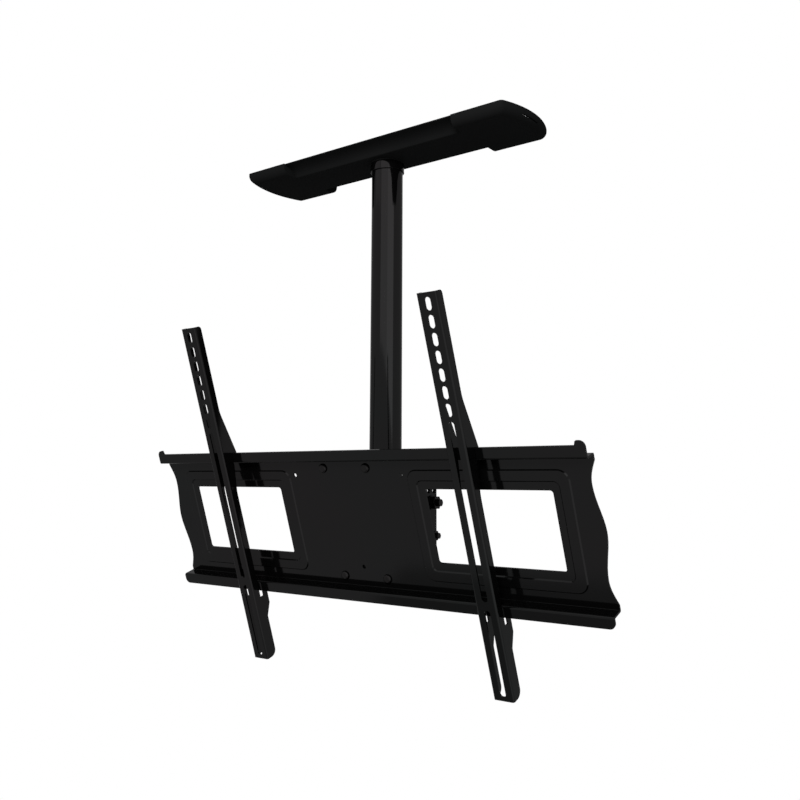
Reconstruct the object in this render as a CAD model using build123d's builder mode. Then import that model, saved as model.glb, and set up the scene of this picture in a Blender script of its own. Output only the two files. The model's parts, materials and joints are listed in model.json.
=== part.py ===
from build123d import *
import os
from math import cos, radians, sin, tan

# Ceiling mount for a flat screen, in millimetres. The origin lies on the column's axis in the plane
# of the ceiling, +Z is up and the screen faces -Y. The plate that carries the screen leans forward
# by rest_tilt, so its pieces are drawn in a frame of their own: along the rails, up, to the front.

os.makedirs("parts", exist_ok=True)

# Fits
play = 0.05  # radial play of a shaft in its hole
gap = 0.3  # between faces that move past each other

# Ceiling plate
ceiling_length = 460
ceiling_depth = 80
ceiling_sheet = 5
ceiling_corner = 8
lag_pitch_x = 406.4  # joist spacing
lag_pitch_y = 50
lag_slot_length = 24
lag_slot_width = 8.5
cable_hole = 36

# Swivel under the ceiling plate
retainer_length = 120
retainer_depth = 62
retainer_corner = 6
retainer_lip = 2.4  # under the swivel flange
flange_overhang = 7  # beyond the tube
flange_thickness = 3
swivel_screw_radius = 1.5
retainer_pitch_x = 92
retainer_pitch_y = 40
retainer_screw_radius = 2.5
retainer_head_radius = 4.75
retainer_head_height = 2.2
retainer_screw_reach = 4  # into the ceiling plate

# Ceiling cover
cover_length = 487  # between the corners
cover_bow = 14.5  # of each end beyond the corners
cover_depth = 131
cover_height = 16.5
cover_wall = 2.5
cover_edge = 13.5
cover_corner = 6
cove_length = 322.6
cove_setback = 2.2
cove_drop = 1.6
cove_flat = 73  # depth of the underside between the coves
cove_radius = 27
cove_edge = 3
rim_width = 2.3
rim_height = 2.2
rim_edge = 1
post_pitch_x = 240
post_pitch_y = 44
post_radius = 5
pin_radius = 3
pin_height = 3.5
knockout_width = 38.5
knockout_offset = -5
knockout_drop = 9.8
knockout_slit = 2
knockout_groove = 0.8
knockout_web = 0.3  # left at the foot of the grooves

# Column
column_radius = 24.15
column_wall = 3.2
column_length = 474.7
column_gap = 0.6  # round the tube in the retainer and the cover
collar_wall = 2
collar_height = 13
collar_screw_radius = 2
foot_size = 80
foot_thickness = 5
foot_corner = 6
foot_pitch = 62
foot_bolt_radius = 4
foot_head_flats = 13
foot_head_height = 5.3
foot_nut_height = 6.5
foot_bolt_end = 4  # beyond the nut

# Tilt yoke
yoke_width = 166
yoke_depth = 86
yoke_sheet = 5
yoke_bend = 3
yoke_cable_hole = 34
leg_rear = 12.8
leg_front = 30
leg_shoulder = 12
leg_waist = 32
leg_drop = 129
leg_corner = 8
index_pitch = 13
index_rise = 16.8  # above the pivot
index_radius = 4

# Tilt
rest_tilt = 19
full_tilt = 20
pivot_drop = 57.3  # below the yoke's top
pivot_reach = 74.4  # behind the screen plate's front
pivot_rise = 4.8  # above the screen plate's middle
pivot_bolt_radius = 5
pivot_head_flats = 17
pivot_head_height = 6.4
pivot_washer_radius = 10
pivot_washer_thickness = 2
pivot_nut_height = 8.4
pivot_bolt_end = 6
friction_washer_radius = 12
friction_washer_thickness = 2.3
lock_tail = 26  # from the lock bolts to the legs' lower end
lock_bolt_radius = 4
lock_head_radius = 8
lock_head_height = 3
lock_washer_radius = 8.5
lock_washer_thickness = 1.6
lock_nut_flats = 13
lock_nut_height = 6.5
lock_bolt_end = 5

# Tilt carrier
carrier_sheet = 3
carrier_bend = 2
carrier_upper = 79
carrier_lower = 75
carrier_tongue_width = 110
carrier_tongue_height = 178
carrier_tongue_corner = 8
pivot_ear = 12
lock_ear = 11

# Screen plate
plate_half = 376.2
plate_sheet = 2.5
plate_bend = 0.4
top_fold = 97  # upper face of the upper flange
top_lip_front = 16.7
top_lip = 110.8
ear_rise = 5.7
ear_width = 13.5
ear_step = 1.6
shelf = 93.8  # upper face of the shelf, below the middle
low_lip_front = 18.6
low_lip = 109.3
lip_corner = 8
wave_depth = 8.5
wave_end = 88
wave_waist = 59
wave_lean = 0.45
window_inner = 131.4
window_outer = 317.2
window_half = 51.2
window_corner = 4
ridge_height = 1.5
ridge_slope = 45
ridge_inner = 106.3
ridge_outer = 342.3
ridge_half = 77.8
ridge_corner = 15.5
frame_inner = 121.3
frame_outer = 326.7
frame_half = 62
frame_corner = 7
plate_bolt_u = 38.7
plate_bolt_v = 80.6
plate_bolt_radius = 3
plate_head_radius = 6.8
plate_head_height = 3.4
plate_nut_flats = 10
plate_nut_height = 5
plate_bolt_end = 4
side_hole_u = 96.4
side_hole_v = 70
side_hole_radius = 3
stop_hole_v = 65
stop_hole_radius = 3

# Hook-on arms
arm_offset = 216
arm_width = 29.6
arm_sheet = 2.3
arm_bend = 0.5
arm_up = 309
arm_down = 214.2
arm_face = 35.3
arm_edge = 22.6  # rear edge of the side walls
arm_corner = 5
arm_tail_corner = 10
arm_slope_top = 176
arm_slope_curve = 60
hook_shoulder = 108
hook_edge = 7
hook_tip = 2
hook_stand = 1.3  # over the upper flange
throat_edge = 16.4
throat_end = 52
tongue_rise = 10  # behind the lower lip
slit_drop = 9  # below the lower lip
tongue_length = 14.7  # below the slit
tail_edge = 16.2
tail_top = 151
slot_width = 8.6
slot_length = 16.6
slot_pitch = 21.9
slot_count = 7
slot_first = 294.8
long_slot_top = 149
long_slot_bottom = -82.3
low_slot_top = -93.5
low_slot_bottom = -208.7

# Heights from the ceiling down
retainer_thickness = flange_thickness + 2 * gap + retainer_lip
tube_top = -(ceiling_sheet + gap)
yoke_top = tube_top - column_length
pivot_height = yoke_top - pivot_drop
lock_radius = leg_drop - pivot_drop - lock_tail
flange_radius = column_radius + flange_overhang
hole_radius = column_radius + column_gap
collar_radius = column_radius + play + collar_wall

# Frame of the screen plate
lean = radians(rest_tilt)
UP = Vector(0, -sin(lean), cos(lean))
FRONT = Vector(0, -cos(lean), -sin(lean))
PIVOT = Vector(0, 0, pivot_height)
SCREEN = Plane(origin=PIVOT - UP * pivot_rise + FRONT * pivot_reach, x_dir=(1, 0, 0), z_dir=FRONT)
UPRIGHT = Axis(SCREEN.origin, UP)
OUTWARD = Axis(SCREEN.origin, FRONT)
lock_v = pivot_rise - lock_radius * cos(lean)
lock_w = lock_radius * sin(lean) - pivot_reach

# Places across the yoke, from the middle out
yoke_half = yoke_width / 2
yoke_inside = yoke_half - yoke_sheet
carrier_half = yoke_inside - friction_washer_thickness - gap
carrier_inside = carrier_half - carrier_sheet
carrier_back = -(plate_sheet + carrier_sheet)


def side_plane(u):
    """Plane across the rails: its x runs up the screen plate and its y to the front."""
    return Plane(origin=SCREEN.from_local_coords((u, 0, 0)), x_dir=UP, z_dir=(1, 0, 0))


def cross_plane(side, x, height):
    """Plane on one side of the yoke, facing outward, on the height of a bolt."""
    return Plane(origin=(side * x, 0, height), x_dir=(0, 1, 0), z_dir=(side, 0, 0))


def save(builder, label):
    """Name a finished part and write its file."""
    builder.part.label = label
    export_step(builder.part, f"parts/{label}.step")


def hexagon(flats):
    """Hexagon across flats, for nuts and bolt heads."""
    RegularPolygon(flats / 2, 6, major_radius=False)


def edges_at(builder, depth):
    """Edges that run up the screen plate at one depth in front of it."""
    upright = builder.edges().filter_by(UPRIGHT)
    return [edge for edge in upright if abs(SCREEN.to_local_coords(edge.center()).Z - depth) < play]


# Pieces at the ceiling

with BuildPart() as ceiling_plate:
    with BuildSketch():
        RectangleRounded(ceiling_length, ceiling_depth, ceiling_corner)
        Circle(cable_hole / 2, mode=Mode.SUBTRACT)
        with GridLocations(lag_pitch_x, lag_pitch_y, 2, 2):
            SlotOverall(lag_slot_length, lag_slot_width, mode=Mode.SUBTRACT)
        with GridLocations(retainer_pitch_x, retainer_pitch_y, 2, 2):
            Circle(retainer_screw_radius + play, mode=Mode.SUBTRACT)
        with GridLocations(post_pitch_x, post_pitch_y, 2, 2):
            Circle(pin_radius + play, mode=Mode.SUBTRACT)
    extrude(amount=-ceiling_sheet)
save(ceiling_plate, "ceiling_plate")

with BuildPart() as swivel_retainer:
    with BuildSketch(Plane.XY.offset(-ceiling_sheet)):
        RectangleRounded(retainer_length, retainer_depth, retainer_corner)
        Circle(hole_radius, mode=Mode.SUBTRACT)
        with GridLocations(retainer_pitch_x, retainer_pitch_y, 2, 2):
            Circle(retainer_screw_radius + play, mode=Mode.SUBTRACT)
    extrude(amount=-retainer_thickness)
    with BuildSketch(Plane.XY.offset(-ceiling_sheet)):
        Circle(flange_radius + play)
    extrude(amount=-(flange_thickness + 2 * gap), mode=Mode.SUBTRACT)
    with BuildSketch(Plane.YZ.offset(-retainer_length / 2)):
        with Locations((0, tube_top - flange_thickness / 2)):
            Circle(swivel_screw_radius + play)
    extrude(amount=retainer_length, mode=Mode.SUBTRACT)
save(swivel_retainer, "swivel_retainer")

with BuildPart() as swivel_screws:
    for side in (-1, 1):
        with BuildSketch(cross_plane(side, flange_radius + gap, tube_top - flange_thickness / 2)):
            Circle(swivel_screw_radius)
        extrude(amount=retainer_length / 2 - flange_radius - gap)
save(swivel_screws, "swivel_screws")

with BuildPart() as retainer_screws:
    with BuildSketch(Plane.XY.offset(-(ceiling_sheet + retainer_thickness))):
        with GridLocations(retainer_pitch_x, retainer_pitch_y, 2, 2):
            Circle(retainer_head_radius)
    extrude(amount=-retainer_head_height)
    chamfer(retainer_screws.edges().group_by(Axis.Z)[0], length=retainer_head_height / 2)
    with BuildSketch(Plane.XY.offset(-(ceiling_sheet + retainer_thickness))):
        with GridLocations(retainer_pitch_x, retainer_pitch_y, 2, 2):
            Circle(retainer_screw_radius)
    extrude(amount=retainer_thickness + retainer_screw_reach)
save(retainer_screws, "retainer_screws")


def cover_outline(inset):
    """Plan of the cover, or of its hollow at a distance inside the wall."""
    half_depth = cover_depth / 2 - inset
    corner = cover_length / 2 - inset
    middle = corner + cover_bow
    with BuildLine() as plan:
        Line((-corner, -half_depth), (corner, -half_depth))
        ThreePointArc((corner, -half_depth), (middle, 0), (corner, half_depth))
        Line((corner, half_depth), (-corner, half_depth))
        ThreePointArc((-corner, half_depth), (-middle, 0), (-corner, -half_depth))
    return plan.edges()


def cove_profile(side):
    """Section of the room under one long side."""
    front = side * (cover_depth / 2 - cove_setback)
    flat = side * cove_flat / 2
    with BuildLine() as section:
        RadiusArc((flat, -cover_height), (front, -cove_drop), side * cove_radius)
        Polyline(
            (front, -cove_drop),
            (front, cover_height),
            (side * cover_depth, cover_height),
            (side * cover_depth, -cover_height),
            (flat, -cover_height),
        )
    return section.edges()


def cover_block(block, inset):
    """Body of the cover, or of its hollow, with rounded corners and lower edges."""
    fillet(block.edges().filter_by(Axis.Z), radius=cover_corner - inset)
    fillet(block.edges().group_by(Axis.Z)[0], radius=cover_edge - inset)


with BuildPart() as cover_hollow:
    with BuildSketch():
        make_face(cover_outline(cover_wall))
    extrude(amount=cover_wall - cover_height)
    cover_block(cover_hollow, cover_wall)
    for side in (-1, 1):
        with BuildSketch(Plane.YZ.offset(-cove_length / 2 - cover_wall)):
            make_face(cove_profile(side))
            offset(amount=cover_wall)
        extrude(amount=cove_length + 2 * cover_wall, mode=Mode.SUBTRACT)

with BuildPart() as ceiling_cover:
    with BuildSketch():
        make_face(cover_outline(0))
    extrude(amount=-cover_height)
    cover_block(ceiling_cover, 0)
    for side in (-1, 1):
        with BuildSketch(Plane.YZ.offset(-cove_length / 2)):
            make_face(cove_profile(side))
        extrude(amount=cove_length, mode=Mode.SUBTRACT)
    cove_edges = ceiling_cover.edges().filter_by(Axis.X).group_by(Axis.Z)[0]
    fillet([edge for edge in cove_edges if abs(edge.center().Y) < cove_flat / 2 + gap], radius=cove_edge)
    add(cover_hollow.part, mode=Mode.SUBTRACT)
    with BuildSketch(Plane.XY.offset(-cover_height)):
        Circle(hole_radius + rim_width)
    extrude(amount=-rim_height)
    fillet(ceiling_cover.edges().group_by(Axis.Z)[0], radius=rim_edge)
    with BuildSketch(Plane.XY.offset(-(cover_height + rim_height))):
        Circle(hole_radius)
    extrude(amount=cover_height, mode=Mode.SUBTRACT)
    with BuildSketch(Plane.XY.offset(cover_wall - cover_height)):
        with GridLocations(post_pitch_x, post_pitch_y, 2, 2):
            Circle(post_radius)
    extrude(amount=cover_height - cover_wall - ceiling_sheet)
    with BuildSketch(Plane.XY.offset(-ceiling_sheet)):
        with GridLocations(post_pitch_x, post_pitch_y, 2, 2):
            Circle(pin_radius)
    extrude(amount=pin_height)
    for end in (-cover_length / 2 - 2 * cover_bow, cover_length / 2):
        with BuildSketch(Plane.YZ.offset(end)):
            with Locations((knockout_offset, -knockout_drop)):
                Rectangle(knockout_width, knockout_slit)
        extrude(amount=2 * cover_bow, mode=Mode.SUBTRACT)
    with BuildSketch():
        make_face(cover_outline(0))
        make_face(cover_outline(cover_wall - knockout_web), mode=Mode.SUBTRACT)
        with Locations((0, knockout_offset)):
            with GridLocations(0, knockout_width - knockout_groove, 1, 2):
                Rectangle(2 * cover_length, knockout_groove, mode=Mode.INTERSECT)
    extrude(amount=-knockout_drop, mode=Mode.SUBTRACT)
save(ceiling_cover, "ceiling_cover")

# Column

with BuildPart() as column_tube:
    with BuildSketch(Plane.XY.offset(tube_top)):
        Circle(column_radius)
        Circle(column_radius - column_wall, mode=Mode.SUBTRACT)
    extrude(amount=-column_length)
save(column_tube, "column_tube")

with BuildPart() as swivel_flange:
    with BuildSketch(Plane.XY.offset(tube_top)):
        Circle(flange_radius)
        Circle(column_radius + play, mode=Mode.SUBTRACT)
    extrude(amount=-flange_thickness)
save(swivel_flange, "swivel_flange")

collar_top = -(cover_height + rim_height + gap)

with BuildPart() as cover_collar:
    with BuildSketch(Plane.XY.offset(collar_top)):
        Circle(collar_radius)
        Circle(column_radius + play, mode=Mode.SUBTRACT)
    extrude(amount=-collar_height)
    with BuildSketch(Plane.XZ):
        with Locations((0, collar_top - collar_height / 2)):
            Circle(collar_screw_radius + play)
    extrude(amount=-2 * collar_radius, mode=Mode.SUBTRACT)
save(cover_collar, "cover_collar")

with BuildPart() as collar_screw:
    with BuildSketch(Plane.XZ.offset(-(column_radius + play))):
        with Locations((0, collar_top - collar_height / 2)):
            Circle(collar_screw_radius)
    extrude(amount=-collar_wall)
save(collar_screw, "collar_screw")

with BuildPart() as foot_plate:
    with BuildSketch(Plane.XY.offset(yoke_top)):
        RectangleRounded(foot_size, foot_size, foot_corner)
        Circle(column_radius + play, mode=Mode.SUBTRACT)
        with GridLocations(foot_pitch, foot_pitch, 2, 2):
            Circle(foot_bolt_radius + play, mode=Mode.SUBTRACT)
    extrude(amount=foot_thickness)
save(foot_plate, "foot_plate")

foot_stack = foot_thickness + yoke_sheet + foot_nut_height + foot_bolt_end

with BuildPart() as foot_bolts:
    with BuildSketch(Plane.XY.offset(yoke_top + foot_thickness)):
        with GridLocations(foot_pitch, foot_pitch, 2, 2):
            hexagon(foot_head_flats)
    extrude(amount=foot_head_height)
    with BuildSketch(Plane.XY.offset(yoke_top + foot_thickness)):
        with GridLocations(foot_pitch, foot_pitch, 2, 2):
            Circle(foot_bolt_radius)
    extrude(amount=-foot_stack)
save(foot_bolts, "foot_bolts")

with BuildPart() as foot_nuts:
    with BuildSketch(Plane.XY.offset(yoke_top - yoke_sheet)):
        with GridLocations(foot_pitch, foot_pitch, 2, 2):
            hexagon(foot_head_flats)
            Circle(foot_bolt_radius + play, mode=Mode.SUBTRACT)
    extrude(amount=-foot_nut_height)
save(foot_nuts, "foot_nuts")

with BuildLine() as lock_path:
    CenterArc((0, pivot_height), lock_radius, -90 - rest_tilt, full_tilt)

with BuildPart() as tilt_yoke:
    with BuildSketch(Plane.YZ):
        with BuildLine():
            FilletPolyline(
                (-yoke_depth / 2, yoke_top),
                (yoke_depth / 2, yoke_top),
                (yoke_depth / 2, yoke_top - leg_shoulder),
                (leg_rear, yoke_top - leg_waist),
                (leg_rear, yoke_top - leg_drop),
                (-leg_front, yoke_top - leg_drop),
                (-leg_front, yoke_top - leg_waist),
                (-yoke_depth / 2, yoke_top - leg_shoulder),
                radius=[0, 0] + [leg_corner] * 6,
                close=True,
            )
        make_face()
    extrude(amount=yoke_half, both=True)
    with BuildSketch(Plane.XZ):
        with Locations((0, yoke_top - yoke_sheet)):
            Rectangle(2 * yoke_inside, leg_drop, align=(Align.CENTER, Align.MAX))
    extrude(amount=yoke_depth, both=True, mode=Mode.SUBTRACT)
    fillet(tilt_yoke.edges().filter_by(Axis.Y).group_by(Axis.Z)[-2], radius=yoke_bend)
    fillet(tilt_yoke.edges().filter_by(Axis.Y).group_by(Axis.Z)[-1], radius=yoke_bend + yoke_sheet)
    with BuildSketch(Plane.XY.offset(yoke_top)):
        Circle(yoke_cable_hole / 2)
        with GridLocations(foot_pitch, foot_pitch, 2, 2):
            Circle(foot_bolt_radius + play)
    extrude(amount=-yoke_sheet, mode=Mode.SUBTRACT)
    with BuildSketch(Plane.YZ.offset(-yoke_half)):
        with Locations((0, pivot_height)):
            Circle(pivot_bolt_radius + play)
        with Locations((0, pivot_height + index_rise)):
            with GridLocations(index_pitch, 0, 2, 1):
                Circle(index_radius)
        SlotArc(lock_path.edge(), 2 * (lock_bolt_radius + gap))
    extrude(amount=yoke_width, mode=Mode.SUBTRACT)
save(tilt_yoke, "tilt_yoke")


def washers(label, height, start, thickness, radius, hole):
    """Two like washers, one on each side of the yoke, along a pair of bolts."""
    with BuildPart() as pair:
        for side in (-1, 1):
            with BuildSketch(cross_plane(side, start, height)):
                Circle(radius)
                Circle(hole + play, mode=Mode.SUBTRACT)
            extrude(amount=thickness)
    save(pair, label)


def nuts(label, height, start, thickness, flats, hole):
    """Two like nuts, one on each side of the yoke, along a pair of bolts."""
    with BuildPart() as pair:
        for side in (-1, 1):
            with BuildSketch(cross_plane(side, start, height)):
                hexagon(flats)
                Circle(hole + play, mode=Mode.SUBTRACT)
            extrude(amount=thickness)
    save(pair, label)


pivot_head_face = carrier_inside - gap
pivot_nut_face = yoke_half + pivot_washer_thickness
pivot_bolt_tip = pivot_nut_face + pivot_nut_height + pivot_bolt_end

with BuildPart() as pivot_bolts:
    for side in (-1, 1):
        with BuildSketch(cross_plane(side, pivot_head_face, pivot_height)):
            hexagon(pivot_head_flats)
        extrude(amount=-pivot_head_height)
        with BuildSketch(cross_plane(side, pivot_head_face, pivot_height)):
            Circle(pivot_bolt_radius)
        extrude(amount=pivot_bolt_tip - pivot_head_face)
save(pivot_bolts, "pivot_bolts")

washers(
    "friction_washers",
    pivot_height,
    carrier_half + gap,
    friction_washer_thickness,
    friction_washer_radius,
    pivot_bolt_radius,
)
washers(
    "pivot_washers",
    pivot_height,
    yoke_half,
    pivot_washer_thickness,
    pivot_washer_radius,
    pivot_bolt_radius,
)
nuts("pivot_nuts", pivot_height, pivot_nut_face, pivot_nut_height, pivot_head_flats, pivot_bolt_radius)

# Pieces that tilt with the screen

lock_height = pivot_height - lock_radius
lock_washer_face = yoke_half + gap
lock_nut_face = lock_washer_face + lock_washer_thickness
lock_bolt_tip = lock_nut_face + lock_nut_height + lock_bolt_end

with BuildPart() as lock_bolts:
    for side in (-1, 1):
        with BuildSketch(cross_plane(side, carrier_inside, lock_height)):
            Circle(lock_head_radius)
        extrude(amount=-lock_head_height)
    head_edges = [edge for edge in lock_bolts.edges() if abs(edge.center().X) < carrier_inside - gap]
    chamfer(head_edges, length=lock_head_height / 2)
    for side in (-1, 1):
        with BuildSketch(cross_plane(side, carrier_inside, lock_height)):
            Circle(lock_bolt_radius)
        extrude(amount=lock_bolt_tip - carrier_inside)
save(lock_bolts, "lock_bolts")

washers(
    "lock_spacers",
    lock_height,
    carrier_half,
    yoke_inside - carrier_half - gap,
    lock_washer_radius,
    lock_bolt_radius,
)
washers(
    "lock_washers",
    lock_height,
    lock_washer_face,
    lock_washer_thickness,
    lock_washer_radius,
    lock_bolt_radius,
)
nuts("lock_nuts", lock_height, lock_nut_face, lock_nut_height, lock_nut_flats, lock_bolt_radius)

with BuildPart() as tilt_carrier:
    with BuildSketch(side_plane(-carrier_half)):
        with BuildLine():
            CenterArc((pivot_rise, -pivot_reach), pivot_ear, 0, 360)
            CenterArc((lock_v, lock_w), lock_ear, 0, 360)
            Line((-carrier_lower, -plate_sheet), (carrier_upper, -plate_sheet))
        make_hull()
    extrude(amount=2 * carrier_half)
    with BuildSketch(SCREEN.offset(carrier_back)):
        Rectangle(2 * carrier_inside, 2 * carrier_tongue_height)
    extrude(amount=-2 * pivot_reach, mode=Mode.SUBTRACT)
    fillet(edges_at(tilt_carrier, carrier_back), radius=carrier_bend)
    fillet(edges_at(tilt_carrier, -plate_sheet), radius=carrier_bend + carrier_sheet)
    with BuildSketch(SCREEN.offset(carrier_back)):
        RectangleRounded(carrier_tongue_width, carrier_tongue_height, carrier_tongue_corner)
    extrude(amount=carrier_sheet)
    with BuildSketch(SCREEN.offset(carrier_back)):
        with GridLocations(2 * plate_bolt_u, 2 * plate_bolt_v, 2, 2):
            Circle(plate_bolt_radius + play)
    extrude(amount=carrier_sheet, mode=Mode.SUBTRACT)
    with BuildSketch(side_plane(-carrier_half)):
        with Locations((pivot_rise, -pivot_reach)):
            Circle(pivot_bolt_radius + play)
        with Locations((lock_v, lock_w)):
            Circle(lock_bolt_radius + play)
    extrude(amount=2 * carrier_half, mode=Mode.SUBTRACT)
save(tilt_carrier, "tilt_carrier")


def plate_edge():
    """Right half of the screen plate's outline: top lip and ear, waved end, bottom lip."""
    ear_foot = plate_half - ear_width
    ear_top = top_lip + ear_rise
    waist = plate_half - wave_depth
    with BuildLine() as half:
        FilletPolyline(
            (0, top_lip),
            (ear_foot, top_lip),
            (ear_foot + ear_step, ear_top),
            (plate_half, ear_top),
            (plate_half, wave_end),
            radius=[ear_step, ear_step, lip_corner],
        )
        Spline(
            (plate_half, wave_end),
            (waist, wave_waist),
            (plate_half, 0),
            (waist, -wave_waist),
            (plate_half, -wave_end),
            tangents=[(-wave_lean, -1), (0, -1), (0, -1), (0, -1), (wave_lean, -1)],
        )
        FilletPolyline((plate_half, -wave_end), (plate_half, -low_lip), (0, -low_lip), radius=lip_corner)
        mirror(about=Plane.YZ)
    return half.edges()


def window(inner, outer, half, corner):
    """Rounded rectangle on each side of the screen plate, from an inner to an outer distance."""
    with GridLocations(inner + outer, 0, 2, 1):
        RectangleRounded(outer - inner, 2 * half, corner)


# A slope in sheet of even thickness starts further in at the back than at the front
shift = plate_sheet * tan(radians(ridge_slope / 2))

with BuildPart() as screen_plate:
    with BuildSketch(side_plane(-plate_half)):
        with BuildLine():
            FilletPolyline(
                (top_lip + ear_rise, top_lip_front - plate_sheet / 2),
                (top_fold - plate_sheet / 2, top_lip_front - plate_sheet / 2),
                (top_fold - plate_sheet / 2, -plate_sheet / 2),
                (-shelf - plate_sheet / 2, -plate_sheet / 2),
                (-shelf - plate_sheet / 2, low_lip_front - plate_sheet / 2),
                (-low_lip, low_lip_front - plate_sheet / 2),
                radius=plate_bend + plate_sheet / 2,
            )
        trace(line_width=plate_sheet)
    extrude(amount=2 * plate_half)
    with BuildSketch(SCREEN.offset(-2 * plate_sheet)):
        make_face(plate_edge())
    extrude(amount=2 * low_lip_front, mode=Mode.INTERSECT)
    with BuildSketch(SCREEN):
        window(ridge_inner, ridge_outer, ridge_half, ridge_corner)
    extrude(amount=ridge_height, taper=ridge_slope)
    with BuildSketch(SCREEN):
        window(frame_inner, frame_outer, frame_half, frame_corner)
    extrude(amount=ridge_height, taper=-ridge_slope, mode=Mode.SUBTRACT)
    with BuildSketch(SCREEN.offset(-plate_sheet)):
        window(ridge_inner + shift, ridge_outer - shift, ridge_half - shift, ridge_corner - shift)
    extrude(amount=ridge_height, taper=ridge_slope, mode=Mode.SUBTRACT)
    with BuildSketch(SCREEN.offset(-plate_sheet)):
        window(frame_inner - shift, frame_outer + shift, frame_half + shift, frame_corner + shift)
    extrude(amount=ridge_height, taper=-ridge_slope)
    with BuildSketch(SCREEN.offset(-plate_sheet)):
        window(window_inner, window_outer, window_half, window_corner)
        with GridLocations(2 * plate_bolt_u, 2 * plate_bolt_v, 2, 2):
            Circle(plate_bolt_radius + play)
        with Locations((-side_hole_u, side_hole_v), (side_hole_u, side_hole_v)):
            Circle(side_hole_radius)
        with Locations((0, -stop_hole_v)):
            Circle(stop_hole_radius)
    extrude(amount=plate_sheet, mode=Mode.SUBTRACT)
save(screen_plate, "screen_plate")

plate_stack = plate_sheet + carrier_sheet + plate_nut_height + plate_bolt_end

with BuildPart() as plate_bolts:
    with BuildSketch(SCREEN):
        with GridLocations(2 * plate_bolt_u, 2 * plate_bolt_v, 2, 2):
            Circle(plate_head_radius)
    extrude(amount=plate_head_height)
    fillet(plate_bolts.edges().group_by(OUTWARD)[-1], radius=plate_head_height - gap)
    with BuildSketch(SCREEN):
        with GridLocations(2 * plate_bolt_u, 2 * plate_bolt_v, 2, 2):
            Circle(plate_bolt_radius)
    extrude(amount=-plate_stack)
save(plate_bolts, "plate_bolts")

with BuildPart() as plate_nuts:
    with BuildSketch(SCREEN.offset(carrier_back)):
        with GridLocations(2 * plate_bolt_u, 2 * plate_bolt_v, 2, 2):
            hexagon(plate_nut_flats)
            Circle(plate_bolt_radius + play, mode=Mode.SUBTRACT)
    extrude(amount=-plate_nut_height)
save(plate_nuts, "plate_nuts")

# Hook-on arms: a U channel whose walls are cut to hook over the upper lip and under the lower one

arm_half = arm_width / 2
arm_inside = arm_half - arm_sheet
top_lip_rear = top_lip_front - plate_sheet
hook_end = top_fold + hook_stand
throat_top = top_fold - plate_sheet - gap
tongue_top = tongue_rise - low_lip
tongue_front = low_lip_front - plate_sheet - 2 * gap
slit_end = -(low_lip + slit_drop)
tongue_end = slit_end - tongue_length


def arm_wall():
    """Outline of an arm's side wall, up the screen plate and to the front."""
    with BuildLine() as wall:
        FilletPolyline(
            (arm_up, arm_face),
            (arm_up, arm_edge),
            (arm_slope_top, arm_edge),
            (hook_shoulder, hook_edge),
            (hook_end, hook_edge),
            (hook_end, top_lip_rear - 2 * gap),
            (top_lip + gap, top_lip_rear - 2 * gap),
            (top_lip + gap, top_lip_front + gap),
            (throat_top, top_lip_front + gap),
            (throat_top, throat_edge),
            (throat_end, arm_edge),
            (slit_end, arm_edge),
            (slit_end, tongue_front),
            (tongue_top, tongue_front),
            (tongue_top, hook_edge),
            (tongue_end, hook_edge),
            (-tail_top, tail_edge),
            (-arm_down, tail_edge),
            (-arm_down, arm_face),
            radius=[arm_corner, arm_slope_curve, hook_tip, hook_tip, hook_tip, gap, gap, gap, gap,
                    arm_slope_curve, gap, gap, hook_tip, hook_tip, hook_tip, arm_corner, arm_tail_corner],
        )
        Line((-arm_down, arm_face), (arm_up, arm_face))
    return wall.edges()


def hook_arm(label, centre):
    """One arm at its place along the rails."""
    with BuildPart() as arm:
        with BuildSketch(side_plane(centre - arm_half)):
            make_face(arm_wall())
        extrude(amount=arm_width)
        with BuildSketch(SCREEN.offset(arm_face - arm_sheet)):
            with Locations((centre, 0)):
                Rectangle(2 * arm_inside, 3 * arm_up)
        extrude(amount=-2 * arm_face, mode=Mode.SUBTRACT)
        fillet(edges_at(arm, arm_face - arm_sheet), radius=arm_bend)
        fillet(edges_at(arm, arm_face), radius=arm_bend + arm_sheet)
        with BuildSketch(SCREEN.offset(arm_face)):
            for row in range(slot_count):
                with Locations((centre, slot_first - row * slot_pitch)):
                    SlotOverall(slot_length, slot_width, rotation=90)
            for high, low in ((long_slot_top, long_slot_bottom), (low_slot_top, low_slot_bottom)):
                with Locations((centre, (high + low) / 2)):
                    SlotOverall(high - low, slot_width, rotation=90)
        extrude(amount=-arm_sheet, mode=Mode.SUBTRACT)
    save(arm, label)


for word, centre in (("left", -arm_offset), ("right", arm_offset)):
    hook_arm(f"{word}_arm", centre)
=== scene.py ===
import json
from math import cos, radians, sin

import bmesh
import bpy
from mathutils import Matrix, Quaternion, Vector


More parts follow.
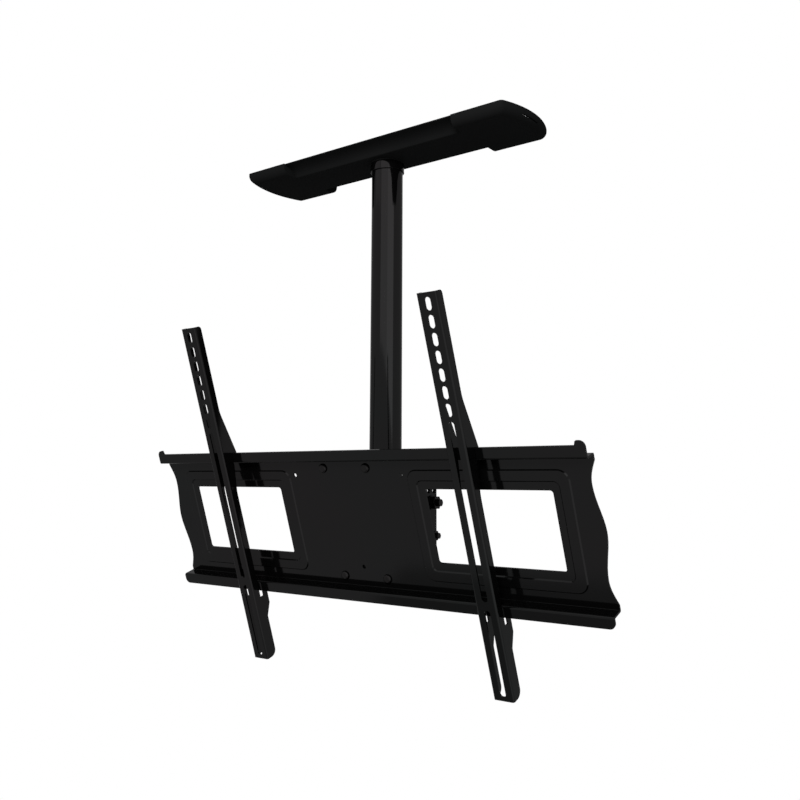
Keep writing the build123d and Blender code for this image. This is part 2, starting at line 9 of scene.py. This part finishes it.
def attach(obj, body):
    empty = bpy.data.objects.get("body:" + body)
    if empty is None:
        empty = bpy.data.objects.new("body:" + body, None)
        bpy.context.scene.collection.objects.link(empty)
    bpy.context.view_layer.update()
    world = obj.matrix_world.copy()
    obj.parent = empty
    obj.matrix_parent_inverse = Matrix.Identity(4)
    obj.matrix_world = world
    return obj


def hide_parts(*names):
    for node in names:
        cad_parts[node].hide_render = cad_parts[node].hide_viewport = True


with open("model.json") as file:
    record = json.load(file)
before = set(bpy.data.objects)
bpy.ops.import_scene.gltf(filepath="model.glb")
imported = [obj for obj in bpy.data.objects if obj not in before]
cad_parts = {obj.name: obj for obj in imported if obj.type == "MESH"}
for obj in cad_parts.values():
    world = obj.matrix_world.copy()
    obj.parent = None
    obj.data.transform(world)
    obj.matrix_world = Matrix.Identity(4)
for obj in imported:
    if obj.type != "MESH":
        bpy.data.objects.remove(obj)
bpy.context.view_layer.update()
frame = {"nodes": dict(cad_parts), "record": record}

bl_info = {
    "name": "Screen ceiling mount",
    "version": (1, 0, 0),
    "blender": (4, 5, 0),
    "location": "3D View > Sidebar > Mount",
    "description": "Dresses the packed ceiling mount in its finishes and sets its studio",
    "category": "Object",
}

MM = 0.001
WHITE = (1, 1, 1, 1)

# The screen plate, as it leans at rest.
LEAN = radians(19)
UPRIGHT = Vector((0, -sin(LEAN), cos(LEAN)))  # up the plate
AHEAD = Vector((0, -cos(LEAN), -sin(LEAN)))  # out of its front
PLATE_MIDDLE = Vector((0, -68.784, -566.061)) * MM

# Where the carrier's ears step up, measured back from the plate's front.
SHOULDER_FOOT = 30.9 * MM
SHOULDER_CREST = 29.6 * MM
CUT_TOLERANCE = 0.001 * MM
EDGE_TOLERANCE = 0.01 * MM  # corners this near the topmost one are on the upper edge
SHARP_ANGLE = 0.5  # radians between two faces, above which their edge stays hard

# The slits of the cover's knock-outs.
SLIT_FLOOR = -10.8 * MM
SLIT_TOLERANCE = 0.05 * MM
COVER_END = 200 * MM  # both knock-outs lie further out than this

# The noise that the finishes share.
CLOUD_SCALE = 3
CLOUD_DETAIL = 3
CLOUD_LOW = 0.35
CLOUD_HIGH = 0.65
HANDLING_SCALE = 38
HANDLING_DETAIL = 5
NOISE_MIDDLE = 0.5
GRAIN_DETAIL = 2
GRAIN_HEIGHT = 0.2 * MM
MIX_FACTOR, MIX_FIRST, MIX_SECOND = 0, 6, 7  # inputs of a Mix node set to colours
MIX_COLOUR = 2  # its output

# The lamps.
LAMP_TARGET = Vector((0, -0.07, -0.566))
KEY_SIZE = 0.8
FILL_PLACE = Vector((-0.9, -1.4, 1.2))
FILL_SIZE = 1.6
SCREEN_PLACE = Vector((1.28, -1.55, 0.55))
SCREEN_FACING = Vector((-SCREEN_PLACE.x, -SCREEN_PLACE.y, 0))  # level, to the column's axis
SCREEN_WIDTH = 4.4
SCREEN_HEIGHT = 1.3
SCREEN_ROLL = -0.12  # radians
END_PLACE = SCREEN_PLACE + Vector((0.88, 0.727, -0.138))
END_WIDTH = 2.1
LOW_PLACE = Vector((SCREEN_PLACE.x, SCREEN_PLACE.y, -1.8))
LOW_HEIGHT = 2


class ShapeSettings(bpy.types.PropertyGroup):
    """Small forms that the dressed pieces have besides the solids."""

    shoulder_rise: bpy.props.FloatProperty(
        name="Shoulder rise", description="How far the carrier's ears step up behind the plate",
        subtype="DISTANCE", unit="LENGTH", min=0, max=0.02, default=7.7 * MM)
    slit_lift: bpy.props.FloatProperty(
        name="Slit lift", description="How far the floors of the knock-outs' slits are raised",
        subtype="DISTANCE", unit="LENGTH", min=0, max=0.002, default=0.62 * MM)
    edge_radius: bpy.props.FloatProperty(
        name="Edge radius", description="Radius at which the finishes ease sharp edges",
        subtype="DISTANCE", unit="LENGTH", min=0, max=0.002, default=0.3 * MM)


class PaintSettings(bpy.types.PropertyGroup):
    """Black powder coat on the sheet steel and the column."""

    colour: bpy.props.FloatVectorProperty(
        name="Coat colour", description="Base colour of the powder coat",
        subtype="COLOR", size=4, min=0, max=1, default=(0.0119, 0.0124, 0.0124, 1))
    cloud: bpy.props.FloatVectorProperty(
        name="Coat cloud", description="Colour that the coat drifts to in broad clouds",
        subtype="COLOR", size=4, min=0, max=1, default=(0.0127, 0.0117, 0.0121, 1))
    roughness: bpy.props.FloatProperty(
        name="Roughness", description="Mean roughness of the coat",
        subtype="FACTOR", min=0, max=1, default=0.09)
    spread: bpy.props.FloatProperty(
        name="Roughness spread", description="How far the coat's roughness drifts",
        subtype="FACTOR", min=0, max=1, default=0.05)
    refraction: bpy.props.FloatProperty(
        name="Index of refraction", description="Sets the gloss of the coat's clear part",
        min=1, max=2, default=1.15)
    flake: bpy.props.FloatProperty(
        name="Metal flake", description="Share of the coat that reflects like metal",
        subtype="FACTOR", min=0, max=1, default=0.88)
    rim: bpy.props.FloatProperty(
        name="Rim gloss", description="Strength of the coat's reflections at a glancing angle",
        subtype="FACTOR", min=0, max=1, default=0.55)
    grain: bpy.props.FloatProperty(
        name="Orange peel", description="Size of the coat's fine ripples",
        subtype="DISTANCE", unit="LENGTH", min=0.0001, max=0.01, default=1.2 * MM)
    depth: bpy.props.FloatProperty(
        name="Peel depth", description="Strength of the coat's fine ripples",
        subtype="FACTOR", min=0, max=1, default=0.015)


class PlasticSettings(bpy.types.PropertyGroup):
    """Grained black plastic of the cover, the friction washers and the spacers."""

    colour: bpy.props.FloatVectorProperty(
        name="Plastic colour", description="Base colour of the plastic",
        subtype="COLOR", size=4, min=0, max=1, default=(0.0073, 0.0075, 0.0076, 1))
    cloud: bpy.props.FloatVectorProperty(
        name="Plastic cloud", description="Colour that the plastic drifts to",
        subtype="COLOR", size=4, min=0, max=1, default=(0.009, 0.0092, 0.0093, 1))
    roughness: bpy.props.FloatProperty(
        name="Roughness", description="Mean roughness of the plastic",
        subtype="FACTOR", min=0, max=1, default=0.55)
    spread: bpy.props.FloatProperty(
        name="Roughness spread", description="How far the plastic's roughness drifts",
        subtype="FACTOR", min=0, max=1, default=0.12)
    refraction: bpy.props.FloatProperty(
        name="Index of refraction", description="Sets the gloss of the plastic's clear part",
        min=1, max=2, default=1.01)
    flake: bpy.props.FloatProperty(
        name="Metal flake", description="Share of the plastic that reflects like metal",
        subtype="FACTOR", min=0, max=1, default=0)
    rim: bpy.props.FloatProperty(
        name="Rim gloss", description="Strength of the plastic's reflections at a glancing angle",
        subtype="FACTOR", min=0, max=1, default=1)
    grain: bpy.props.FloatProperty(
        name="Grain", description="Size of the moulded grain",
        subtype="DISTANCE", unit="LENGTH", min=0.0001, max=0.01, default=0.7 * MM)
    depth: bpy.props.FloatProperty(
        name="Grain depth", description="Strength of the moulded grain",
        subtype="FACTOR", min=0, max=1, default=0.35)


class HardwareSettings(bpy.types.PropertyGroup):
    """Blackened steel of the bolts, nuts, screws and washers."""

    colour: bpy.props.FloatVectorProperty(
        name="Oxide colour", description="Base colour of the blackened steel",
        subtype="COLOR", size=4, min=0, max=1, default=(0.0115, 0.011, 0.0112, 1))
    cloud: bpy.props.FloatVectorProperty(
        name="Rubbed colour", description="Colour of the rubbed places",
        subtype="COLOR", size=4, min=0, max=1, default=(0.0165, 0.0155, 0.0157, 1))
    roughness: bpy.props.FloatProperty(
        name="Roughness", description="Mean roughness of the blackened steel",
        subtype="FACTOR", min=0, max=1, default=0.24)
    spread: bpy.props.FloatProperty(
        name="Roughness spread", description="How far the oxide's roughness drifts",
        subtype="FACTOR", min=0, max=1, default=0.12)
    refraction: bpy.props.FloatProperty(
        name="Index of refraction", description="Sets the gloss of the oxide's clear part",
        min=1, max=2, default=1.15)
    flake: bpy.props.FloatProperty(
        name="Metal flake", description="Share of the oxide that reflects like metal",
        subtype="FACTOR", min=0, max=1, default=0.88)
    rim: bpy.props.FloatProperty(
        name="Rim gloss", description="Strength of the oxide's reflections at a glancing angle",
        subtype="FACTOR", min=0, max=1, default=0.55)
    grain: bpy.props.FloatProperty(
        name="Speckle", description="Size of the oxide's speckle",
        subtype="DISTANCE", unit="LENGTH", min=0.0001, max=0.01, default=0.9 * MM)
    depth: bpy.props.FloatProperty(
        name="Speckle depth", description="Strength of the oxide's speckle",
        subtype="FACTOR", min=0, max=1, default=0.06)


class StudioSettings(bpy.types.PropertyGroup):
    """Camera, lamps and floor."""

    camera_place: bpy.props.FloatVectorProperty(
        name="Camera place", description="Where the camera stands",
        subtype="TRANSLATION", unit="LENGTH", size=3, default=(0.799389, -1.030806, -0.506901))
    camera_turn: bpy.props.FloatVectorProperty(
        name="Camera turn", description="Camera heading, pitch and roll",
        subtype="EULER", unit="ROTATION", size=3,
        default=(radians(37.0529), radians(8.7853), radians(-0.2732)))
    lens: bpy.props.FloatProperty(
        name="Lens", description="Focal length in millimetres",
        subtype="DISTANCE_CAMERA", min=1, default=39.190)
    shift: bpy.props.FloatVectorProperty(
        name="Shift", description="Lens shift that frames the photo", size=2, default=(0.00329, -0.0674))
    key_way: bpy.props.FloatVectorProperty(
        name="Key light way", description="Direction from the plate to the key light",
        subtype="DIRECTION", size=3, default=(0.4, -0.85, 0.42))
    key_distance: bpy.props.FloatProperty(
        name="Key distance", description="How far the key light stands",
        subtype="DISTANCE", unit="LENGTH", min=0.1, default=2.6)
    key_power: bpy.props.FloatProperty(
        name="Key power", description="Power of the key light",
        subtype="POWER", unit="POWER", min=0, default=60)
    fill_power: bpy.props.FloatProperty(
        name="Fill power", description="Power of the soft overhead light",
        subtype="POWER", unit="POWER", min=0, default=4)
    screen_power: bpy.props.FloatProperty(
        name="Screen power", description="Power of the lit screen that shows in the column",
        subtype="POWER", unit="POWER", min=0, default=21.5)
    end_power: bpy.props.FloatProperty(
        name="Bright end power", description="Power that the lit screen's right half has besides",
        subtype="POWER", unit="POWER", min=0, default=5.2)
    low_power: bpy.props.FloatProperty(
        name="Low screen power", description="Power of the dimmer screen that shows in the folds",
        subtype="POWER", unit="POWER", min=0, default=20)
    ambient: bpy.props.FloatProperty(
        name="Ambient", description="Even light on the diffuse surfaces", min=0, default=0.45)
    floor_height: bpy.props.FloatProperty(
        name="Floor height", description="Height of the floor, measured up from the ceiling",
        subtype="DISTANCE", unit="LENGTH", default=-3.3)
    floor_size: bpy.props.FloatProperty(
        name="Floor size", description="Side of the square floor",
        subtype="DISTANCE", unit="LENGTH", min=1, default=5.5)
    floor_colour: bpy.props.FloatVectorProperty(
        name="Floor colour", description="Base colour of the floor",
        subtype="COLOR", size=4, min=0, max=1, default=(0.86, 0.86, 0.86, 1))
    floor_roughness: bpy.props.FloatProperty(
        name="Floor roughness", description="Roughness of the floor",
        subtype="FACTOR", min=0, max=1, default=0.9)


SETTINGS = {
    "mount_shape": ShapeSettings,
    "mount_paint": PaintSettings,
    "mount_plastic": PlasticSettings,
    "mount_hardware": HardwareSettings,
    "mount_studio": StudioSettings,
}


def add_sockets(group):
    """Named inputs and outputs of the shared finish."""
    for way, kind, names in (
            ("INPUT", "NodeSocketColor", ("Colour", "Cloud")),
            ("INPUT", "NodeSocketFloat", ("Roughness", "Spread", "Grain Scale", "Grain Depth")),
            ("OUTPUT", "NodeSocketColor", ("Colour",)),
            ("OUTPUT", "NodeSocketFloat", ("Roughness",)),
            ("OUTPUT", "NodeSocketVector", ("Normal",))):
        for name in names:
            group.interface.new_socket(name=name, in_out=way, socket_type=kind)


def add_noise(group, place, detail):
    """Noise that is fixed to the piece."""
    noise = group.nodes.new("ShaderNodeTexNoise")
    noise.inputs["Detail"].default_value = detail
    group.links.new(place.outputs["Object"], noise.inputs["Vector"])
    return noise


def grained_finish():
    """Group that gives a finish its clouded colour, uneven roughness, fine bumps and eased edges."""
    if "Grained Finish" in bpy.data.node_groups:
        return bpy.data.node_groups["Grained Finish"]
    group = bpy.data.node_groups.new("Grained Finish", "ShaderNodeTree")
    add_sockets(group)
    nodes, links = group.nodes, group.links
    entry = nodes.new("NodeGroupInput")
    leave = nodes.new("NodeGroupOutput")
    place = nodes.new("ShaderNodeTexCoord")

    clouds = add_noise(group, place, CLOUD_DETAIL)
    clouds.inputs["Scale"].default_value = CLOUD_SCALE
    steer = nodes.new("ShaderNodeMapRange")
    steer.inputs["From Min"].default_value = CLOUD_LOW
    steer.inputs["From Max"].default_value = CLOUD_HIGH
    links.new(clouds.outputs["Fac"], steer.inputs["Value"])
    blend = nodes.new("ShaderNodeMix")
    blend.data_type = "RGBA"
    links.new(steer.outputs["Result"], blend.inputs[MIX_FACTOR])
    links.new(entry.outputs["Colour"], blend.inputs[MIX_FIRST])
    links.new(entry.outputs["Cloud"], blend.inputs[MIX_SECOND])
    links.new(blend.outputs[MIX_COLOUR], leave.inputs["Colour"])

    handling = add_noise(group, place, HANDLING_DETAIL)
    handling.inputs["Scale"].default_value = HANDLING_SCALE
    centred = nodes.new("ShaderNodeMath")
    centred.operation = "SUBTRACT"
    centred.inputs[1].default_value = NOISE_MIDDLE
    links.new(handling.outputs["Fac"], centred.inputs[0])
    uneven = nodes.new("ShaderNodeMath")
    uneven.operation = "MULTIPLY_ADD"
    links.new(centred.outputs[0], uneven.inputs[0])
    links.new(entry.outputs["Spread"], uneven.inputs[1])
    links.new(entry.outputs["Roughness"], uneven.inputs[2])
    links.new(uneven.outputs[0], leave.inputs["Roughness"])

    grain = add_noise(group, place, GRAIN_DETAIL)
    links.new(entry.outputs["Grain Scale"], grain.inputs["Scale"])
    eased = nodes.new("ShaderNodeBevel")
    eased.inputs["Radius"].default_value = bpy.context.scene.mount_shape.edge_radius
    bump = nodes.new("ShaderNodeBump")
    bump.inputs["Distance"].default_value = GRAIN_HEIGHT
    links.new(eased.outputs["Normal"], bump.inputs["Normal"])
    links.new(entry.outputs["Grain Depth"], bump.inputs["Strength"])
    links.new(grain.outputs["Fac"], bump.inputs["Height"])
    links.new(bump.outputs["Normal"], leave.inputs["Normal"])
    return group


def finish_material(name, settings):
    """Material from one block of settings, with the shared grain."""
    if name in bpy.data.materials:
        return bpy.data.materials[name]
    material = bpy.data.materials.new(name)
    material.use_nodes = True
    nodes, links = material.node_tree.nodes, material.node_tree.links
    shader = nodes["Principled BSDF"]
    shader.inputs["IOR"].default_value = settings.refraction
    shader.inputs["Metallic"].default_value = settings.flake
    shader.inputs["Specular Tint"].default_value = (settings.rim, settings.rim, settings.rim, 1)
    group = nodes.new("ShaderNodeGroup")
    group.node_tree = grained_finish()
    group.inputs["Colour"].default_value = settings.colour
    group.inputs["Cloud"].default_value = settings.cloud
    group.inputs["Roughness"].default_value = settings.roughness
    group.inputs["Spread"].default_value = settings.spread
    group.inputs["Grain Scale"].default_value = 1 / settings.grain
    group.inputs["Grain Depth"].default_value = settings.depth
    links.new(group.outputs["Colour"], shader.inputs["Base Color"])
    links.new(group.outputs["Roughness"], shader.inputs["Roughness"])
    links.new(group.outputs["Normal"], shader.inputs["Normal"])
    return material


def coat():
    """Powder coat of the steel pieces."""
    return finish_material("Black powder coat", bpy.context.scene.mount_paint)


def plastic():
    """Grained plastic of the moulded pieces."""
    return finish_material("Grained black plastic", bpy.context.scene.mount_plastic)


def oxide():
    """Blackened steel of the fasteners."""
    return finish_material("Blackened steel", bpy.context.scene.mount_hardware)


def node_body(node):
    """Body that a node rides on."""
    for body, members in frame["record"]["behaviour"]["bodies"].items():
        if node in members:
            return body
    raise RuntimeError(f"no body lists {node}")


def dress(node, material):
    """Copy of a CAD node with its exact normals, shown in its place in its own finish."""
    mesh = frame["nodes"][node].data.copy()
    mesh.materials.clear()
    mesh.materials.append(material)
    piece = bpy.data.objects.new(f"{node}_dressed", mesh)
    bpy.context.scene.collection.objects.link(piece)
    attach(piece, node_body(node))
    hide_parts(node)
    return piece


def narrow_slits(cover, lift):
    """Draws the knock-outs' slits in to the fine lines of the photo."""
    floors = [
        vertex for vertex in cover.data.vertices
        if abs(vertex.co.x) > COVER_END and abs(vertex.co.z - SLIT_FLOOR) < SLIT_TOLERANCE]
    if not floors:
        raise RuntimeError("the cover has no slits to narrow")
    for vertex in floors:
        vertex.co.z += lift


def raise_shoulders(carrier, crest_rise):
    """Steps the ears' upper edges up behind the plate, where they close its side hole."""
    mesh = carrier.data
    shape = bmesh.new()
    shape.from_mesh(mesh)
    for depth, rise in ((SHOULDER_FOOT, 0), (SHOULDER_CREST, crest_rise)):
        cut = bmesh.ops.bisect_plane(
            shape, geom=[*shape.verts, *shape.edges, *shape.faces], dist=CUT_TOLERANCE,
            plane_co=PLATE_MIDDLE - AHEAD * depth, plane_no=AHEAD)
        corners = [item for item in cut["geom_cut"] if isinstance(item, bmesh.types.BMVert)]
        top = max(UPRIGHT.dot(corner.co) for corner in corners)
        for corner in corners:
            if UPRIGHT.dot(corner.co) > top - EDGE_TOLERANCE:
                corner.co += UPRIGHT * rise
    shape.to_mesh(mesh)
    shape.free()
    # The solid's normals no longer fit the new faces.
    if "custom_normal" in mesh.attributes:
        mesh.attributes.remove(mesh.attributes["custom_normal"])
    mesh.set_sharp_from_angle(angle=SHARP_ANGLE)


class MOUNT_OT_ceiling(bpy.types.Operator):
    """Dress the cover and the pieces that bolt to the ceiling"""

    bl_idname = "mount.ceiling"
    bl_label = "Ceiling pieces"

    def execute(self, context):
        cover = dress("ceiling_cover", plastic())
        narrow_slits(cover, context.scene.mount_shape.slit_lift)
        for node in ("ceiling_plate", "swivel_retainer"):
            dress(node, coat())
        for node in ("retainer_screws", "swivel_screws"):
            dress(node, oxide())
        return {"FINISHED"}


class MOUNT_OT_column(bpy.types.Operator):
    """Dress the column, its collar and its two welded plates"""

    bl_idname = "mount.column"
    bl_label = "Column"

    def execute(self, context):
        for node in ("column_tube", "swivel_flange", "cover_collar", "foot_plate"):
            dress(node, coat())
        dress("collar_screw", oxide())
        return {"FINISHED"}


class MOUNT_OT_tilt_head(bpy.types.Operator):
    """Dress the yoke, the carrier, and their friction washers and spacers"""

    bl_idname = "mount.tilt_head"
    bl_label = "Tilt head"

    def execute(self, context):
        dress("tilt_yoke", coat())
        carrier = dress("tilt_carrier", coat())
        raise_shoulders(carrier, context.scene.mount_shape.shoulder_rise)
        for node in ("friction_washers", "lock_spacers"):
            dress(node, plastic())
        return {"FINISHED"}


class MOUNT_OT_fasteners(bpy.types.Operator):
    """Dress the bolts, nuts and washers"""

    bl_idname = "mount.fasteners"
    bl_label = "Fasteners"

    def execute(self, context):
        for node in (
                "foot_bolts", "foot_nuts", "pivot_bolts", "pivot_washers", "pivot_nuts",
                "lock_bolts", "lock_washers", "lock_nuts", "plate_bolts", "plate_nuts"):
            dress(node, oxide())
        return {"FINISHED"}


class MOUNT_OT_screen_plate(bpy.types.Operator):
    """Dress the pressed plate that carries the arms"""

    bl_idname = "mount.screen_plate"
    bl_label = "Screen plate"

    def execute(self, context):
        dress("screen_plate", coat())
        return {"FINISHED"}


class MOUNT_OT_arms(bpy.types.Operator):
    """Dress the two hook-on arms"""

    bl_idname = "mount.arms"
    bl_label = "Hook-on arms"

    def execute(self, context):
        for side in ("left", "right"):
            dress(f"{side}_arm", coat())
        return {"FINISHED"}


def studio_camera(settings):
    """Camera at the photo's place, heading and framing."""
    heading, pitch, roll = settings.camera_turn
    ahead = Vector((-sin(heading) * cos(pitch), cos(heading) * cos(pitch), sin(pitch)))
    right = Vector((cos(heading), sin(heading), 0))
    down = ahead.cross(right)
    across = right * cos(roll) + down * sin(roll)
    under = down * cos(roll) - right * sin(roll)
    turn = Matrix((across, -under, -ahead)).transposed()
    data = bpy.data.cameras.new("Photo camera")
    data.lens = settings.lens
    data.shift_x, data.shift_y = settings.shift
    camera = bpy.data.objects.new("Photo camera", data)
    camera.matrix_world = Matrix.Translation(settings.camera_place) @ turn.to_4x4()
    bpy.context.scene.collection.objects.link(camera)
    bpy.context.scene.camera = camera


def studio_lamp(name, place, target, width, height, power, roll=0):
    """Oblong lamp that faces a point, rolled about the line to it."""
    data = bpy.data.lights.new(name, "AREA")
    data.shape = "RECTANGLE"
    data.size = width
    data.size_y = height
    data.energy = power
    lamp = bpy.data.objects.new(name, data)
    lamp.location = place
    turn = (target - place).to_track_quat("-Z", "Y") @ Quaternion((0, 0, 1), roll)
    lamp.rotation_euler = turn.to_euler()
    bpy.context.scene.collection.objects.link(lamp)
    return lamp


def studio_lamps(settings):
    """Key and fill light, and three screens that show only in glossy surfaces."""
    key_place = LAMP_TARGET + Vector(settings.key_way).normalized() * settings.key_distance
    key = studio_lamp("Key light", key_place, LAMP_TARGET, KEY_SIZE, KEY_SIZE, settings.key_power)
    key.visible_glossy = False
    studio_lamp("Soft overhead", FILL_PLACE, LAMP_TARGET, FILL_SIZE, FILL_SIZE, settings.fill_power)
    for name, place, width, height, power, roll in (
            ("Lit screen", SCREEN_PLACE, SCREEN_WIDTH, SCREEN_HEIGHT, settings.screen_power, SCREEN_ROLL),
            ("Bright end", END_PLACE, END_WIDTH, SCREEN_HEIGHT, settings.end_power, SCREEN_ROLL),
            ("Low screen", LOW_PLACE, SCREEN_WIDTH, LOW_HEIGHT, settings.low_power, 0)):
        screen = studio_lamp(name, place, place + SCREEN_FACING, width, height, power, roll)
        screen.visible_diffuse = False


def studio_world(settings):
    """White behind the object and in its reflections, and an even soft light."""
    world = bpy.data.worlds.new("Studio")
    bpy.context.scene.world = world
    world.use_nodes = True
    nodes, links = world.node_tree.nodes, world.node_tree.links
    nodes.clear()
    out = nodes.new("ShaderNodeOutputWorld")
    rays = nodes.new("ShaderNodeLightPath")
    seen = nodes.new("ShaderNodeMath")
    seen.operation = "MAXIMUM"
    links.new(rays.outputs["Is Camera Ray"], seen.inputs[0])
    links.new(rays.outputs["Is Glossy Ray"], seen.inputs[1])
    shown = nodes.new("ShaderNodeMath")
    shown.operation = "MAXIMUM"
    links.new(seen.outputs[0], shown.inputs[0])
    links.new(rays.outputs["Is Transmission Ray"], shown.inputs[1])
    soft = nodes.new("ShaderNodeBackground")
    soft.inputs["Strength"].default_value = settings.ambient
    white = nodes.new("ShaderNodeBackground")
    white.inputs["Strength"].default_value = 1
    for shade in (soft, white):
        shade.inputs["Color"].default_value = WHITE
    mix = nodes.new("ShaderNodeMixShader")
    links.new(shown.outputs[0], mix.inputs[0])
    links.new(soft.outputs[0], mix.inputs[1])
    links.new(white.outputs[0], mix.inputs[2])
    links.new(mix.outputs[0], out.inputs["Surface"])


def studio_floor(settings):
    """Pale floor well below the mount."""
    mesh = bpy.data.meshes.new("Floor")
    shape = bmesh.new()
    bmesh.ops.create_grid(shape, x_segments=1, y_segments=1, size=settings.floor_size / 2)
    shape.to_mesh(mesh)
    shape.free()
    floor = bpy.data.objects.new("Floor", mesh)
    floor.location.z = settings.floor_height
    bpy.context.scene.collection.objects.link(floor)
    material = bpy.data.materials.new("Pale floor")
    material.use_nodes = True
    shader = material.node_tree.nodes["Principled BSDF"]
    shader.inputs["Base Color"].default_value = settings.floor_colour
    shader.inputs["Roughness"].default_value = settings.floor_roughness
    mesh.materials.append(material)


class MOUNT_OT_studio(bpy.types.Operator):
    """Set the camera, the lamps, the white surround and the floor"""

    bl_idname = "mount.studio"
    bl_label = "Studio"

    def execute(self, context):
        settings = context.scene.mount_studio
        context.scene.view_settings.view_transform = "Standard"
        studio_camera(settings)
        studio_lamps(settings)
        studio_world(settings)
        studio_floor(settings)
        return {"FINISHED"}


OPERATORS = (
    MOUNT_OT_ceiling,
    MOUNT_OT_column,
    MOUNT_OT_tilt_head,
    MOUNT_OT_fasteners,
    MOUNT_OT_screen_plate,
    MOUNT_OT_arms,
    MOUNT_OT_studio,
)


class MOUNT_PT_panel(bpy.types.Panel):
    """Pieces of the mount, in the order they are dressed"""

    bl_idname = "MOUNT_PT_panel"
    bl_label = "Ceiling mount"
    bl_space_type = "VIEW_3D"
    bl_region_type = "UI"
    bl_category = "Mount"

    def draw(self, context):
        for operator in OPERATORS:
            self.layout.operator(operator.bl_idname)
        for name in SETTINGS:
            settings = getattr(context.scene, name)
            box = self.layout.box()
            for prop in settings.bl_rna.properties:
                if prop.identifier not in {"rna_type", "name"}:
                    box.prop(settings, prop.identifier)


def register():
    """Adds the settings to the scene, and the operators and the panel to Blender."""
    for name, settings in SETTINGS.items():
        bpy.utils.register_class(settings)
        setattr(bpy.types.Scene, name, bpy.props.PointerProperty(type=settings))
    for operator in OPERATORS:
        bpy.utils.register_class(operator)
    bpy.utils.register_class(MOUNT_PT_panel)


def unregister():
    """Takes away all that register adds."""
    bpy.utils.unregister_class(MOUNT_PT_panel)
    for operator in reversed(OPERATORS):
        bpy.utils.unregister_class(operator)
    for name, settings in SETTINGS.items():
        delattr(bpy.types.Scene, name)
        bpy.utils.unregister_class(settings)


def main():
    """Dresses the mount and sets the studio."""
    register()
    bpy.ops.mount.ceiling()
    bpy.ops.mount.column()
    bpy.ops.mount.tilt_head()
    bpy.ops.mount.fasteners()
    bpy.ops.mount.screen_plate()
    bpy.ops.mount.arms()
    bpy.ops.mount.studio()


if __name__ == "__main__":
    main()
